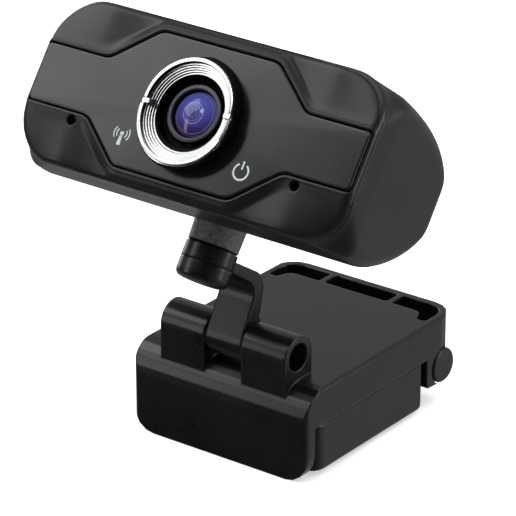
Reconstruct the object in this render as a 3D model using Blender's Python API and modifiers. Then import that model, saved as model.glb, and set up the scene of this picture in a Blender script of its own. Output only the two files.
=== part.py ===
"""Webcam on a folding clip stand: head, neck, arm, clip shell and folding leg, in metres, +Z up.

The origin is the middle of the rubber foot that the stand rests on.  X runs across the stand,
Y runs from the front lip to the rear hinge.
"""
import math

import bmesh
import bpy
from mathutils import Vector

MM = 0.001
GAP = 0.3 * MM              # clearance left between neighbouring pieces
SLIT = 0.1 * MM             # clearance between pieces pressed flat together

# clip shell and leg
BASE_WIDTH = 47.4 * MM
BASE_DEPTH = 57.6 * MM
BASE_HEIGHT = 21.0 * MM
FOOT_MIDDLE = 26.0 * MM     # from the front wall to the middle of the rubber foot
FRONT_Y = -FOOT_MIDDLE
WALL = 2.0 * MM
LIP_DEPTH = 3.4 * MM
SKIRT_BOTTOM = 12.4 * MM
FRONT_ROUND = 7.0 * MM
LEG_TOP = 12.1 * MM
LEG_BOTTOM = 1.4 * MM
LEG_FRONT = 3.8 * MM
LEG_REAR = 44.6 * MM

# front hinge
TILT_Y = FRONT_Y + 6.4 * MM
TILT_Z = 26.4 * MM
KNUCKLE_RADIUS = 4.8 * MM
KNUCKLE_INNER = 5.1 * MM
KNUCKLE_OUTER = 17.0 * MM
PIN_BORE = 3.2 * MM
PIN_RADIUS = 1.5 * MM

# rear hinge
FOLD_Y = FRONT_Y + 52.4 * MM
FOLD_Z = 8.8 * MM
DISC_RADIUS = 4.1 * MM

# arm and neck, along the leaning neck axis
LEAN = math.radians(35.2)
NECK_Y = FRONT_Y + 1.45 * MM
NECK_Z = 54.6 * MM
ARM_HALF = 4.7 * MM
NECK_RADIUS = 5.85 * MM
EYE_TOP = -5.15 * MM
EYE_BOTTOM = -8.7 * MM
CAP_BOTTOM = -13.0 * MM
NECK_BOTTOM = -4.75 * MM
BOSS_TOP = 6.7 * MM         # top of the boss inside the head that the neck screw's nut turns on

# head
PAN = math.radians(2.74)
FACE_LEAN = math.radians(1.68)
FACE_AHEAD = 25.0 * MM      # face plane to neck axis
FACE_ABOVE = 17.9 * MM      # lens axis to the neck's reference point
HEAD_HALF = 42.1 * MM
HEAD_DEPTH = 36.4 * MM
HEAD_TOP = 17.2 * MM
HEAD_BOTTOM = 20.3 * MM
END_ROUND = 3.6 * MM
END_CORNER = 3.6 * MM       # radius between the ends and the top and bottom
SWELL = 7.0 * MM            # depth over which the housing fills out behind the bezel
BELLY = 15.0 * MM           # depth over which its underside does
BEZEL_HALF = 41.8 * MM
BEZEL_TALL = 18.5 * MM
BEZEL_CORNER = 10.0 * MM
SEAM = 1.8 * MM             # depth of the seam between bezel and housing
PLATE_HALF = 41.0 * MM
WING_TALL = 6.45 * MM
PLATE_TALL = 15.1 * MM
PLATE_THICK = 0.8 * MM
LENS_HOLE = 9.2 * MM
MIC_X = 28.55 * MM
MIC_Z = -8.45 * MM
ICON_X = 15.4 * MM
ICON_Z = -8.85 * MM
BOARD_Y = 17.0 * MM
BOARD_HALF = 32.0 * MM
BOARD_TALL = 10.0 * MM
GLAND_Z = 1.5 * MM
BOSSES = [(side * 21.5 * MM, tall * 6.5 * MM) for side in (-1, 1) for tall in (-1, 1)]

BLACK = (0.012, 0.012, 0.013)
DARK = (0.022, 0.022, 0.024)
MATERIALS = {
    "satin_black": (BLACK, 0.42, 0.0),
    "gloss_black": (BLACK, 0.12, 0.0),
    "stand_black": (DARK, 0.50, 0.0),
    "rubber": ((0.02, 0.02, 0.02), 0.85, 0.0),
    "chrome": ((0.78, 0.79, 0.80), 0.10, 1.0),
    "lens_grey": ((0.16, 0.17, 0.18), 0.35, 0.6),
    "glass": ((0.10, 0.09, 0.42), 0.03, 0.0),
    "steel": ((0.55, 0.55, 0.56), 0.30, 1.0),
    "board_green": ((0.02, 0.14, 0.06), 0.45, 0.0),
    "chip_black": ((0.02, 0.02, 0.022), 0.60, 0.0),
    "led_white": ((0.85, 0.88, 0.90), 0.30, 0.0),
}

for old in list(bpy.data.objects):
    bpy.data.objects.remove(old)


def new_collection(name):
    group = bpy.data.collections.new(name)
    bpy.context.scene.collection.children.link(group)
    return group


PARTS = new_collection("webcam_on_clip_stand")
CUTTERS = new_collection("cutters")


def make_material(name):
    colour, roughness, metallic = MATERIALS[name]
    material = bpy.data.materials.new(name)
    material.use_nodes = True
    shader = material.node_tree.nodes["Principled BSDF"]
    shader.inputs["Base Color"].default_value = (*colour, 1.0)
    shader.inputs["Roughness"].default_value = roughness
    shader.inputs["Metallic"].default_value = metallic
    return material


# ---------------------------------------------------------------- frames

def make_frame(name, parent=None, location=(0, 0, 0), rotation=(0, 0, 0)):
    frame = bpy.data.objects.new(name, None)
    frame.empty_display_size = 5 * MM
    frame.location = location
    frame.rotation_euler = rotation
    frame.parent = parent
    PARTS.objects.link(frame)
    return frame


BASE = make_frame("base_frame", location=(0, FRONT_Y, 0))
TILT = make_frame("tilt_axis", location=(0, TILT_Y, TILT_Z))
FOLD = make_frame("fold_axis", location=(0, FOLD_Y, FOLD_Z))
NECK = make_frame("neck_axis", TILT, (0, NECK_Y - TILT_Y, NECK_Z - TILT_Z), (-LEAN, 0, 0))
SWIVEL = make_frame("pan_axis", NECK, rotation=(0, 0, PAN))
HEAD = make_frame("head_frame", SWIVEL, (0, -FACE_AHEAD, FACE_ABOVE), (-FACE_LEAN, 0, 0))


# ---------------------------------------------------------------- shape tools

def add_object(name, mesh, frame):
    """Links an object that has this mesh, in the given frame."""
    thing = bpy.data.objects.new(name, mesh)
    thing.parent = frame
    PARTS.objects.link(thing)
    return thing


def finish(thing, material, smooth=35):
    """Gives the piece its own material and shades its round faces smooth."""
    thing.data.materials.clear()
    thing.data.materials.append(make_material(material))
    thing.data.shade_smooth()
    thing.data.set_sharp_from_angle(angle=math.radians(smooth))
    return thing


def rounded(corners, steps=5):
    """Outline points of a polygon whose corners are (u, v, radius)."""
    points = []
    count = len(corners)
    for index, (u, v, radius) in enumerate(corners):
        here = Vector((u, v))
        if radius <= 0:
            points.append(here)
            continue
        before = Vector(corners[index - 1][:2]) - here
        after = Vector(corners[(index + 1) % count][:2]) - here
        half = before.angle(after) / 2
        middle = here + (before.normalized() + after.normalized()).normalized() * radius / math.sin(half)
        start = here + before.normalized() * radius / math.tan(half) - middle
        end = here + after.normalized() * radius / math.tan(half) - middle
        turn = start.angle_signed(end)
        for step in range(steps + 1):
            angle = -turn * step / steps
            swung = Vector((start.x * math.cos(angle) - start.y * math.sin(angle),
                            start.x * math.sin(angle) + start.y * math.cos(angle)))
            points.append(middle + swung)
    return points


def mirrored(corners):
    """Closes a right-hand half outline, listed bottom to top, with its mirror image."""
    return corners + [(-u, v, radius) for u, v, radius in reversed(corners)]


def extruded(name, outline, axis, low, high, frame):
    """A flat outline filled and extruded along an axis, from low to high."""
    curve = bpy.data.curves.new(name, "CURVE")
    curve.dimensions = "2D"
    curve.fill_mode = "BOTH"
    curve.extrude = (high - low) / 2
    spline = curve.splines.new("POLY")
    spline.points.add(len(outline) - 1)
    for target, (u, v) in zip(spline.points, outline):
        target.co = (u, v, 0, 1)
    spline.use_cyclic_u = True
    sketch = bpy.data.objects.new(name + "_sketch", curve)
    PARTS.objects.link(sketch)
    depsgraph = bpy.context.evaluated_depsgraph_get()
    mesh = bpy.data.meshes.new_from_object(sketch.evaluated_get(depsgraph))
    bpy.data.objects.remove(sketch)
    shape = bmesh.new()
    shape.from_mesh(mesh)
    bmesh.ops.remove_doubles(shape, verts=shape.verts, dist=0.001 * MM)
    bmesh.ops.dissolve_limit(shape, angle_limit=math.radians(0.5), verts=shape.verts, edges=shape.edges)
    middle = (low + high) / 2
    for vert in shape.verts:
        u, v, w = vert.co
        w = w + middle
        vert.co = {"x": (w, u, v), "y": (u, w, v), "z": (u, v, w)}[axis]
    bmesh.ops.recalc_face_normals(shape, faces=shape.faces)
    if shape.calc_volume(signed=True) < 0:
        bmesh.ops.reverse_faces(shape, faces=shape.faces)
    shape.to_mesh(mesh)
    shape.free()
    return add_object(name, mesh, frame)


def turned(name, profile, axis, frame, steps=40, place=(0, 0, 0)):
    """A turned solid: profile is (radius, distance along the axis), from the top down."""
    mesh = bpy.data.meshes.new(name)
    verts = [(radius, 0, along) for radius, along in profile]
    count = len(verts)
    open_profile = profile[0][0] == 0 and profile[-1][0] == 0
    edges = [(i, i + 1) for i in range(count - 1)]
    if not open_profile:
        edges.append((count - 1, 0))
    mesh.from_pydata(verts, edges, [])
    thing = add_object(name, mesh, frame)
    screw = thing.modifiers.new("turn", "SCREW")
    screw.axis = "Z"
    screw.steps = steps
    screw.render_steps = steps
    screw.use_merge_vertices = True
    screw.merge_threshold = 0.01 * MM
    thing.rotation_euler = {"x": (0, math.radians(90), 0), "y": (math.radians(90), 0, 0), "z": (0, 0, 0)}[axis]
    thing.location = place
    return thing


def rod(name, radius, low, high, axis, frame, place=(0, 0, 0), steps=24):
    """A plain cylinder from low to high along the axis of a frame."""
    bpy.ops.mesh.primitive_cylinder_add(vertices=steps, radius=radius, depth=high - low)
    thing = bpy.context.object
    thing.name = name
    for owner in list(thing.users_collection):
        owner.objects.unlink(thing)
    PARTS.objects.link(thing)
    thing.parent = frame
    offset = {"x": Vector((1, 0, 0)), "y": Vector((0, 1, 0)), "z": Vector((0, 0, 1))}[axis]
    thing.rotation_euler = {"x": (0, math.radians(90), 0), "y": (math.radians(90), 0, 0), "z": (0, 0, 0)}[axis]
    thing.location = Vector(place) + offset * (low + high) / 2
    return thing


def block(name, low, high, frame):
    """A box between two corners."""
    mesh = bpy.data.meshes.new(name)
    shape = bmesh.new()
    bmesh.ops.create_cube(shape, size=1)
    low, high = Vector(low), Vector(high)
    for vert in shape.verts:
        vert.co = Vector([(a + b) / 2 + c * (b - a) for a, b, c in zip(low, high, vert.co)])
    shape.to_mesh(mesh)
    shape.free()
    return add_object(name, mesh, frame)


def as_cutter(thing):
    for owner in list(thing.users_collection):
        owner.objects.unlink(thing)
    CUTTERS.objects.link(thing)
    thing.hide_render = True
    thing.display_type = "WIRE"
    return thing


def combine(thing, tool, operation="DIFFERENCE"):
    """Cuts, joins or intersects a piece with a tool."""
    as_cutter(tool)
    cut = thing.modifiers.new(tool.name, "BOOLEAN")
    cut.operation = operation
    cut.solver = "EXACT"
    cut.object = tool
    return thing


def soften(thing, width, segments=2, angle=40):
    """Rounds a piece's sharp edges."""
    bevel = thing.modifiers.new("edges", "BEVEL")
    bevel.width = width
    bevel.segments = segments
    bevel.limit_method = "ANGLE"
    bevel.angle_limit = math.radians(angle)
    return thing


def mm(*values):
    """Turns (u, v) or (u, v, radius) in millimetres into metres."""
    return tuple(value * MM for value in values)


# ---------------------------------------------------------------- clip shell

def knuckle(name, side):
    """One front knuckle: flat in front, round on top, rooted in the shell."""
    front = TILT_Y - FRONT_Y - KNUCKLE_RADIUS
    back = front + 2 * KNUCKLE_RADIUS
    top = TILT_Z + KNUCKLE_RADIUS
    root = BASE_HEIGHT - 1.4 * MM
    outline = rounded([
        (front, root - 3.1 * MM, 0),
        (front + 1.4 * MM, root - 3.1 * MM, 0),
        (front + 3.9 * MM, root, 0),
        (back, root, 0),
        (back, top, KNUCKLE_RADIUS - SLIT),
        (front, top, KNUCKLE_RADIUS - SLIT),
    ], 7)
    ends = sorted((side * KNUCKLE_INNER, side * KNUCKLE_OUTER))
    return extruded(name, outline, "x", ends[0], ends[1], BASE)


def slot_outlines():
    """The three slots along the shell's back edge, seen from above."""
    front, back = 51.1 * MM, 56.1 * MM
    middle = [(8.8 * MM, front, MM), (8.8 * MM, back, MM)]
    corner = [
        mm(10.1, 51.1, 0.5), mm(18.2, 51.1, 2.2), mm(19.4, 47.4, 1.0), mm(21.9, 47.4, 1.0),
        mm(21.9, 56.1, 4.2), mm(10.1, 56.1, 0.5),
    ]
    yield "slot_middle", rounded(mirrored(middle), 3)
    yield "slot_right", rounded(corner, 3)
    yield "slot_left", rounded([(-u, v, radius) for u, v, radius in reversed(corner)], 3)


def clip_shell():
    half = BASE_WIDTH / 2
    rear_sill = 13.2 * MM
    side = rounded([
        (0, 0, 0), (LIP_DEPTH, 0, 0), (LIP_DEPTH, SKIRT_BOTTOM, 0), (46 * MM, SKIRT_BOTTOM, 0),
        (46 * MM, 5.2 * MM, 0.8 * MM), (56.7 * MM, 4.4 * MM, 4.3 * MM), (56.7 * MM, rear_sill, 0),
        (BASE_DEPTH, rear_sill, 0), (BASE_DEPTH, BASE_HEIGHT, 0), (0, BASE_HEIGHT, FRONT_ROUND),
    ], 6)
    shell = extruded("clip_shell", side, "x", -half, half, BASE)
    plan = rounded(mirrored([(half, 0, 1.4 * MM), (half, BASE_DEPTH, 6 * MM)]), 4)
    combine(shell, extruded("shell_plan", plan, "z", -MM, BASE_HEIGHT + MM, BASE), "INTERSECT")
    front = rounded(mirrored([(half, 0, 5.5 * MM), (half, BASE_HEIGHT, 0.9 * MM)]), 4)
    combine(shell, extruded("shell_front", front, "y", -MM, BASE_DEPTH + MM, BASE), "INTERSECT")
    for name, direction in (("knuckle_left", -1), ("knuckle_right", 1)):
        combine(shell, knuckle(name, direction), "UNION")
    jaw = rounded([
        (LIP_DEPTH, -MM, 0), (44 * MM, -MM, 0), (44 * MM, BASE_HEIGHT - WALL, 0),
        (LIP_DEPTH + 0.6 * MM, BASE_HEIGHT - WALL, 3 * MM), (LIP_DEPTH, SKIRT_BOTTOM, 0),
    ], 4)
    combine(shell, extruded("jaw_hollow", jaw, "x", WALL - half, half - WALL, BASE))
    combine(shell, block("hinge_hollow", mm(-19, 43.9, -1), (19 * MM, 55.8 * MM, BASE_HEIGHT - WALL), BASE))
    sill = block("hinge_sill", mm(-19, 43.9, -1), (19 * MM, BASE_DEPTH + MM, rear_sill), BASE)
    combine(shell, sill)
    for name, outline in slot_outlines():
        combine(shell, extruded(name, outline, "z", 14.4 * MM, BASE_HEIGHT + MM, BASE))
    combine(shell, rod("screw_well", PIN_BORE, 9 * MM, 18 * MM, "x", TILT, steps=28))
    combine(shell, rod("tilt_bore", PIN_RADIUS + SLIT, -14 * MM, 10 * MM, "x", TILT, steps=16))
    combine(shell, rod("fold_bore", PIN_RADIUS + SLIT, -24 * MM, 24 * MM, "x", FOLD, steps=16))
    for name, low, high in (("seat_left", -25, -21.8), ("seat_right", 21.8, 25)):
        combine(shell, rod(name, DISC_RADIUS + GAP, low * MM, high * MM, "x", FOLD, steps=28))
    finish(shell, "stand_black")


def front_hinge_pin():
    """The shoulder screw that the arm tilts on, sunk in the right knuckle's well."""
    profile = [
        mm(0, 10.9), mm(0.9, 10.9), mm(0.9, 11.9), mm(2.8, 11.9), mm(2.8, 9.2), mm(1.5, 9.2),
        mm(1.5, -13.2), mm(0, -13.6),
    ]
    finish(turned("tilt_screw", profile, "x", TILT, steps=20), "steel")


def rear_hinge_pin():
    half_pin = 21.6 * MM
    finish(rod("fold_pin", PIN_RADIUS, -half_pin, half_pin, "x", FOLD, steps=16), "steel")
    for name, side in (("pin_cap_left", -1), ("pin_cap_right", 1)):
        ends = sorted((side * 21.95 * MM, side * 24.0 * MM))
        cap = rod(name, DISC_RADIUS, ends[0], ends[1], "x", FOLD, steps=28)
        finish(soften(cap, 0.4 * MM, 1), "stand_black")


def shell_pad():
    low = (-17 * MM, 9 * MM, BASE_HEIGHT - WALL - 1.4 * MM)
    high = (17 * MM, 39 * MM, BASE_HEIGHT - WALL - SLIT)
    finish(block("shell_pad", low, high, BASE), "rubber")


# ---------------------------------------------------------------- leg

LEG_SCREWS = [mm(x, y) for x in (-18.4, 18.4) for y in (8.8, 39.6)]
COVER_LOW = 9.9 * MM
COVER_HIGH = 11.4 * MM


def leg():
    half = BASE_WIDTH / 2 - 0.2 * MM
    plan = rounded(mirrored([(half, LEG_FRONT, 3 * MM), (half, LEG_REAR, MM)]), 4)
    tray = extruded("leg", plan, "z", LEG_BOTTOM, LEG_TOP, BASE)
    side = rounded([
        (0, LEG_BOTTOM, 0), (LEG_REAR, LEG_BOTTOM, 2 * MM), (LEG_REAR, LEG_TOP + MM, 0), (0, LEG_TOP + MM, 0),
    ], 4)
    combine(tray, extruded("leg_side", side, "x", -half - MM, half + MM, BASE), "INTERSECT")
    inner = rounded(mirrored([(half - WALL, LEG_FRONT + WALL, MM), (half - WALL, LEG_REAR - WALL, MM)]), 2)
    combine(tray, extruded("leg_hollow", inner, "z", LEG_BOTTOM + WALL, LEG_TOP + MM, BASE))
    combine(tray, block("leg_neck", mm(-14.7, 43.6, 6), mm(14.7, 50, 11.4), BASE), "UNION")
    combine(tray, rod("leg_barrel", DISC_RADIUS, -18.6 * MM, 18.6 * MM, "x", FOLD, steps=24), "UNION")
    for index, (x, y) in enumerate(LEG_SCREWS):
        post = rod(f"leg_post_{index}", 2.2 * MM, LEG_BOTTOM + MM, COVER_LOW - SLIT, "z", BASE, (x, y, 0), 12)
        combine(tray, post, "UNION")
        combine(tray, rod(f"leg_pilot_{index}", 0.95 * MM, 4.6 * MM, LEG_TOP, "z", BASE, (x, y, 0), 10))
    combine(tray, rod("leg_bore", PIN_RADIUS + SLIT, -24 * MM, 24 * MM, "x", FOLD, steps=16))
    finish(tray, "stand_black")


def small_screw(name, frame, place, axis, head, shank, length, material="steel"):
    """A pan-head screw whose head faces along the axis; place is under its head."""
    profile = [
        (0, 0.7 * head), (head * 0.28, 0.7 * head), (head * 0.28, 0.95 * head), (head * 0.8, 0.85 * head),
        (head, 0.35 * head), (head, 0), (shank, 0), (shank, -length + shank), (0, -length),
    ]
    finish(turned(name, profile, axis, frame, 14, place), material)


def leg_cover():
    half = BASE_WIDTH / 2 - 0.2 * MM - WALL - GAP
    plan = rounded(mirrored([(half, LEG_FRONT + WALL + GAP, MM), (half, LEG_REAR - WALL - GAP, MM)]), 2)
    cover = extruded("leg_cover", plan, "z", COVER_LOW, COVER_HIGH, BASE)
    for index, (x, y) in enumerate(LEG_SCREWS):
        combine(cover, rod(f"cover_hole_{index}", 1.2 * MM, 9 * MM, 13 * MM, "z", BASE, (x, y, 0), 10))
        small_screw(f"leg_screw_{index + 1}", BASE, (x, y, COVER_HIGH + SLIT), "z", 1.5 * MM, 0.85 * MM, 6 * MM)
    finish(cover, "stand_black")
    low, high = (-15 * MM, 11 * MM, COVER_HIGH + SLIT), (15 * MM, 37.5 * MM, COVER_HIGH + 1.5 * MM)
    finish(block("leg_pad", low, high, BASE), "rubber")
    reach = 15.5 * MM
    low, high = (-17 * MM, FOOT_MIDDLE - reach, 0), (17 * MM, FOOT_MIDDLE + reach, LEG_BOTTOM - SLIT)
    finish(block("foot_pad", low, high, BASE), "rubber")


# ---------------------------------------------------------------- arm and neck

def arm_bracket():
    """The bent strap: a barrel in the front hinge below, an eye round the neck screw above."""
    corners = [
        mm(6.4, 26.4, 0), mm(2.4, 28.6, 0), mm(8.36, 39.17, 4), mm(-4.1, 47.87, 0),
        mm(-2.6, 49.65, 0), mm(11.18, 40.7, 5), mm(8.75, 31.9, 0), mm(9.9, 29.0, 0),
    ]
    outline = rounded([(y + FRONT_Y - TILT_Y, z - TILT_Z, radius) for y, z, radius in corners], 6)
    bracket = extruded("arm_bracket", outline, "x", -ARM_HALF, ARM_HALF, TILT)
    barrel = rod("arm_barrel", 4.55 * MM, -ARM_HALF - SLIT, ARM_HALF + SLIT, "x", TILT, steps=32)
    combine(bracket, barrel, "UNION")
    combine(bracket, rod("arm_eye", NECK_RADIUS, EYE_BOTTOM, EYE_TOP, "z", NECK, steps=40), "UNION")
    combine(bracket, rod("arm_bore", PIN_RADIUS + SLIT, -9 * MM, 9 * MM, "x", TILT, steps=16))
    combine(bracket, rod("eye_bore", PIN_RADIUS + SLIT, -12 * MM, 0, "z", NECK, steps=16))
    finish(bracket, "stand_black")


def swivel_joint():
    cavity = 3.7 * MM
    corner = [
        (NECK_RADIUS - 1.4 * MM * (1 - math.sin(angle)), CAP_BOTTOM + 1.4 * MM * (1 - math.cos(angle)))
        for angle in [math.radians(step) for step in (90, 60, 30, 0)]
    ]
    profile = [
        (0, EYE_BOTTOM - 3.2 * MM), (cavity, EYE_BOTTOM - 3.2 * MM), (cavity, EYE_BOTTOM - SLIT),
        (NECK_RADIUS, EYE_BOTTOM - SLIT), *corner, (0, CAP_BOTTOM),
    ]
    finish(turned("swivel_cap", profile, "z", NECK), "stand_black")
    head_top = EYE_BOTTOM - SLIT
    tip = BOSS_TOP + 3.6 * MM
    profile = [
        (0, tip), (PIN_RADIUS - GAP, tip), (PIN_RADIUS, tip - GAP), (PIN_RADIUS, head_top), (3.2 * MM, head_top),
        (3.2 * MM, head_top - 2.2 * MM), (0, head_top - 2.2 * MM),
    ]
    finish(turned("swivel_screw", profile, "z", NECK, 18), "steel")
    hole = PIN_RADIUS + SLIT
    top, bottom = BOSS_TOP + 2.4 * MM, BOSS_TOP + GAP
    profile = [(hole, top), (2.9 * MM, top), (2.9 * MM, bottom), (hole, bottom)]
    finish(turned("swivel_nut", profile, "z", NECK, 12), "steel")
    top, bottom = NECK_BOTTOM - SLIT, EYE_TOP + SLIT
    profile = [(hole, top), (5.2 * MM, top), (5.2 * MM, bottom), (hole, bottom)]
    finish(turned("friction_washer", profile, "z", NECK, 28), "steel")


def neck_post():
    """The grained post under the head; its top end is shaped to the housing."""
    hole = PIN_RADIUS + SLIT
    profile = [(hole, 8 * MM), (6.1 * MM, 8 * MM), (5.7 * MM, NECK_BOTTOM), (hole, NECK_BOTTOM)]
    post = turned("neck_post", profile, "z", SWIVEL)
    combine(post, head_solid("neck_saddle", -GAP))
    finish(post, "satin_black")


# ---------------------------------------------------------------- head shells

def ease(value):
    """Smooth step from 0 to 1."""
    value = min(max(value, 0), 1)
    return value * value * (3 - 2 * value)


def head_section(depth, inset):
    """The head's outline at a depth behind the face: (half width, top, bottom, corner radius)."""
    reach = min(depth / (HEAD_DEPTH + MM - inset), 1)
    swell = ease((depth - SEAM) / SWELL)
    belly = ease((depth - SEAM) / BELLY)
    top = (HEAD_TOP - inset) * (1 - reach ** 2.8) ** (1 / 2.8) + (1 - swell) * (BEZEL_TALL - HEAD_TOP)
    bottom = (HEAD_BOTTOM - inset) * (1 - reach ** 2) ** 0.5 + (1 - belly) * (BEZEL_TALL - HEAD_BOTTOM)
    past = max(depth - (HEAD_DEPTH + MM - inset - END_ROUND), 0) / END_ROUND
    half = HEAD_HALF - inset - END_ROUND * (1 - math.sqrt(max(1 - past * past, 0)))
    half -= (1 - swell) * (HEAD_HALF - BEZEL_HALF)
    corner = max(BEZEL_CORNER + swell * (END_CORNER - BEZEL_CORNER) - inset, MM)
    return half, top, bottom, min(corner, 0.499 * (top + bottom))


def head_solid(name, inset):
    """The head's solid form, lofted from ahead of the face to the round back, drawn in by inset."""
    back = HEAD_DEPTH + MM - inset
    swelling, rounding = 4, 11
    full = SEAM + SWELL
    depths = [-SWELL, SEAM]
    depths += [SEAM + SWELL * step / swelling for step in range(1, swelling + 1)]
    depths += [
        full + (back - full) * math.sin(math.radians(90 * step / rounding))
        for step in range(1, rounding)
    ]
    depths.append(back - SLIT / 2)
    shape = bmesh.new()
    rings = []
    for depth in depths:
        half, top, bottom, corner = head_section(max(depth, SEAM), inset)
        outline = rounded(mirrored([(half, -bottom, corner), (half, top, corner)]), 6)
        rings.append([shape.verts.new((x, depth, z)) for x, z in outline])
    for ring, following in zip(rings, rings[1:]):
        for index, vert in enumerate(ring):
            shape.faces.new((ring[index - 1], vert, following[index], following[index - 1]))
    shape.faces.new(rings[0])
    shape.faces.new(rings[-1])
    bmesh.ops.recalc_face_normals(shape, faces=shape.faces)
    mesh = bpy.data.meshes.new(name)
    shape.to_mesh(mesh)
    shape.free()
    return add_object(name, mesh, HEAD)


def rear_housing():
    housing = head_solid("rear_housing", 0)
    combine(housing, head_solid("housing_hollow", WALL))
    far = 60 * MM
    boss = rod("neck_boss", 4.4 * MM, -2 * MM, BOSS_TOP, "z", SWIVEL, steps=16)
    combine(boss, head_solid("boss_trim", 0.5 * MM), "INTERSECT")
    combine(housing, boss, "UNION")
    combine(housing, block("mouth", (-far, -far, -far), (far, SEAM, far), HEAD))
    combine(housing, rod("swivel_hole", PIN_RADIUS + GAP, -8 * MM, 12 * MM, "z", SWIVEL, steps=16))
    combine(housing, rod("gland_hole", 3.1 * MM, 30 * MM, 42 * MM, "y", HEAD, (0, 0, GLAND_Z), 20))
    finish(housing, "satin_black")


def cable_gland():
    """The grommet in the back of the housing where the lead would come out."""
    profile = [
        mm(1.9, -33.1), mm(3.9, -33.1), mm(3.9, -34.1), mm(2.8, -34.1), mm(2.8, -37.7), mm(4.1, -37.7),
        mm(4.1, -38.6), mm(3.4, -39.3), mm(1.9, -39.3),
    ]
    finish(turned("cable_gland", profile, "y", HEAD, 20, (0, 0, GLAND_Z)), "rubber")


def plate_outline(grow):
    """The face plate's outline: a tall middle that steps down to two wings."""
    wing, tall, half = WING_TALL + grow, PLATE_TALL + grow, PLATE_HALF + grow
    top = [(half, wing, 0.8 * MM), (25.1 * MM + grow / 2, wing, 4 * MM), (14.7 * MM + grow / 2, tall, 4 * MM)]
    bottom = [(u, -v, radius) for u, v, radius in reversed(top)]
    return rounded(mirrored(bottom + top), 4)


def front_bezel():
    rim = rounded(mirrored([(BEZEL_HALF, -BEZEL_TALL, BEZEL_CORNER), (BEZEL_HALF, BEZEL_TALL, BEZEL_CORNER)]), 8)
    bezel = extruded("front_bezel", rim, "y", GAP, SEAM - SLIT, HEAD)
    mouth = mirrored([mm(38.4, -16.0, 7), mm(38.4, 14.0, 7)])
    combine(bezel, extruded("bezel_tongue", rounded(mouth, 5), "y", 0.9 * MM, 4 * MM, HEAD), "UNION")
    for index, (x, z) in enumerate(BOSSES):
        boss = rod(f"bezel_boss_{index}", 2.2 * MM, 3 * MM, BOARD_Y - SLIT, "y", HEAD, (x, 0, z), 12)
        combine(bezel, boss, "UNION")
        combine(bezel, rod(f"boss_pilot_{index}", 0.95 * MM, 10.5 * MM, 18 * MM, "y", HEAD, (x, 0, z), 10))
    pocket = extruded("plate_pocket", plate_outline(0.35 * MM), "y", -MM, PLATE_THICK + 2 * SLIT, HEAD)
    combine(bezel, pocket)
    combine(bezel, rod("bezel_lens_hole", LENS_HOLE, -MM, 6 * MM, "y", HEAD, steps=32))
    for index, side in enumerate((-1, 1)):
        place = (side * MIC_X, 0, MIC_Z)
        combine(bezel, rod(f"mic_hole_{index}", 1.15 * MM, -MM, 6 * MM, "y", HEAD, place, 14))
        place = (side * ICON_X, 0, ICON_Z)
        combine(bezel, rod(f"light_hole_{index}", 1.3 * MM, -MM, 6 * MM, "y", HEAD, place, 12))
    finish(bezel, "satin_black")


def face_plate():
    plate = extruded("face_plate", plate_outline(0), "y", 0, PLATE_THICK, HEAD)
    combine(plate, rod("plate_lens_hole", LENS_HOLE, -MM, 6 * MM, "y", HEAD, steps=32))
    finish(plate, "gloss_black")


# ---------------------------------------------------------------- lens

def lens_assembly():
    """Turned pieces on the lens axis; distances run forward from the plate's face."""
    ring = [
        mm(6.75, 0.5), mm(8.1, 1.25), mm(11.5, 3.3), mm(11.75, 3.3), mm(12.8, 1.4), mm(12.9, 0.3),
        mm(8.8, 0.3), mm(8.8, -4.2), mm(6.75, -4.2),
    ]
    finish(turned("focus_ring", ring, "y", HEAD, 48), "satin_black")
    chrome = [mm(8.1, 1.85), mm(10.1, 3.85), mm(10.3, 4.05), mm(11.4, 4.05), mm(11.5, 3.9), mm(11.5, 3.6), mm(8.1, 1.55)]
    finish(turned("chrome_ring", chrome, "y", HEAD, 48), "chrome")
    barrel = [
        mm(5.35, 0.3), mm(5.5, 0.4), mm(6.4, 0.4), mm(6.4, -0.8), mm(5.9, -0.8), mm(5.9, -12), mm(4.4, -12),
        mm(4.4, -2.4), mm(5.35, -2.4),
    ]
    finish(turned("lens_barrel", barrel, "y", HEAD, 32), "lens_grey")
    dome = [(5.1 * math.sin(turn), -0.7 + 1.5 * math.cos(turn)) for turn in [math.radians(15 * n) for n in range(7)]]
    dome = [mm(radius, along) for radius, along in dome]
    finish(turned("front_lens", dome + [mm(5.1, -2.2), mm(0, -2.2)], "y", HEAD, 32), "glass")
    for name, high, low in (("middle_lens", -4, -6), ("rear_lens", -8, -10.5)):
        disc = [mm(0, high), mm(2.4, high - 0.2), mm(4.2, high - 0.7), mm(4.2, low), mm(0, low)]
        finish(turned(name, disc, "y", HEAD, 20), "glass")


def lens_mount():
    half = 7.5 * MM
    holder = block("lens_holder", (-half, 5.6 * MM, -half), (half, BOARD_Y - SLIT, half), HEAD)
    combine(holder, rod("holder_bore", 6.05 * MM, 4 * MM, 18 * MM, "y", HEAD, steps=28))
    finish(holder, "chip_black")
    finish(rod("ir_filter", 4.6 * MM, 13 * MM, 13.6 * MM, "y", HEAD, steps=20), "glass")
    half = 3.6 * MM
    sensor = block("image_sensor", (-half, 15.6 * MM, -half), (half, BOARD_Y - SLIT, half), HEAD)
    finish(sensor, "chip_black")


# ---------------------------------------------------------------- electronics

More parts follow.
